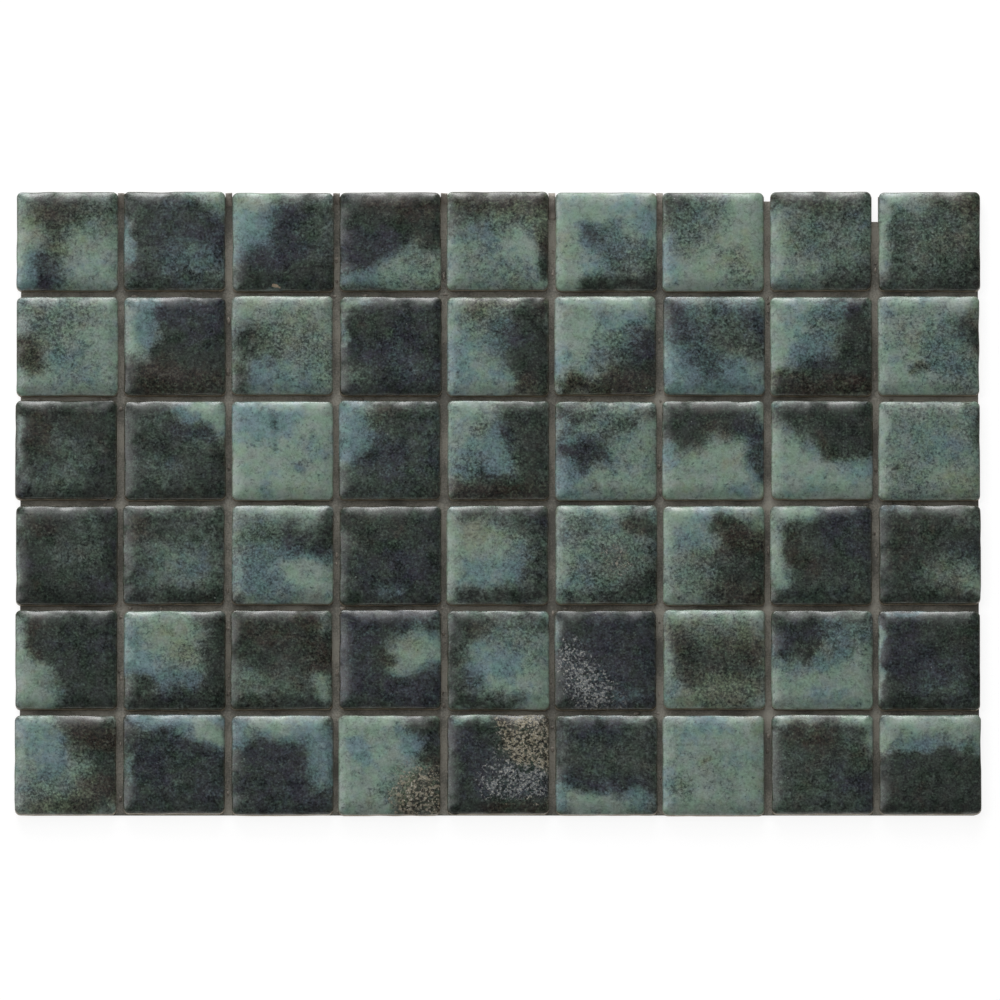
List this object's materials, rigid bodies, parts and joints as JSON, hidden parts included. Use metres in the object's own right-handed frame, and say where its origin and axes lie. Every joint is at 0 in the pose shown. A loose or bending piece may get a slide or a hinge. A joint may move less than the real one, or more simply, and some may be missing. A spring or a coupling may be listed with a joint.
{
  "type": "mosaic tile sheet",
  "caption": "Flat sheet of square glazed ceramic mosaic tiles in clouded sea green and near-black, held at even open joints by a thin mesh backing.",
  "frame": {"origin": "middle of the sheet's underside, where the backing meets the wall or floor", "axes": "+X along the nine tiles, +Y across the six, +Z out of the glazed faces"},
  "size_m": [0.4568, 0.3038, 0.0066],
  "materials": {
    "glazed_tile": "gloss",
    "mesh_film": "matte"
  },
  "bodies": {
    "root": {"mesh_backing": "mesh_film", "tile_r1_c1": "glazed_tile", "tile_r1_c2": "glazed_tile", "tile_r1_c3": "glazed_tile", "tile_r1_c4": "glazed_tile", "tile_r1_c5": "glazed_tile", "tile_r1_c6": "glazed_tile", "tile_r1_c7": "glazed_tile", "tile_r1_c8": "glazed_tile", "tile_r1_c9": "glazed_tile", "tile_r2_c1": "glazed_tile", "tile_r2_c2": "glazed_tile", "tile_r2_c3": "glazed_tile", "tile_r2_c4": "glazed_tile", "tile_r2_c5": "glazed_tile", "tile_r2_c6": "glazed_tile", "tile_r2_c7": "glazed_tile", "tile_r2_c8": "glazed_tile", "tile_r2_c9": "glazed_tile", "tile_r3_c1": "glazed_tile", "tile_r3_c2": "glazed_tile", "tile_r3_c3": "glazed_tile", "tile_r3_c4": "glazed_tile", "tile_r3_c5": "glazed_tile", "tile_r3_c6": "glazed_tile", "tile_r3_c7": "glazed_tile", "tile_r3_c8": "glazed_tile", "tile_r3_c9": "glazed_tile", "tile_r4_c1": "glazed_tile", "tile_r4_c2": "glazed_tile", "tile_r4_c3": "glazed_tile", "tile_r4_c4": "glazed_tile", "tile_r4_c5": "glazed_tile", "tile_r4_c6": "glazed_tile", "tile_r4_c7": "glazed_tile", "tile_r4_c8": "glazed_tile", "tile_r4_c9": "glazed_tile", "tile_r5_c1": "glazed_tile", "tile_r5_c2": "glazed_tile", "tile_r5_c3": "glazed_tile", "tile_r5_c4": "glazed_tile", "tile_r5_c5": "glazed_tile", "tile_r5_c6": "glazed_tile", "tile_r5_c7": "glazed_tile", "tile_r5_c8": "glazed_tile", "tile_r5_c9": "glazed_tile", "tile_r6_c1": "glazed_tile", "tile_r6_c2": "glazed_tile", "tile_r6_c3": "glazed_tile", "tile_r6_c4": "glazed_tile", "tile_r6_c5": "glazed_tile", "tile_r6_c6": "glazed_tile", "tile_r6_c7": "glazed_tile", "tile_r6_c8": "glazed_tile", "tile_r6_c9": "glazed_tile"}
  },
  "joints": []
}
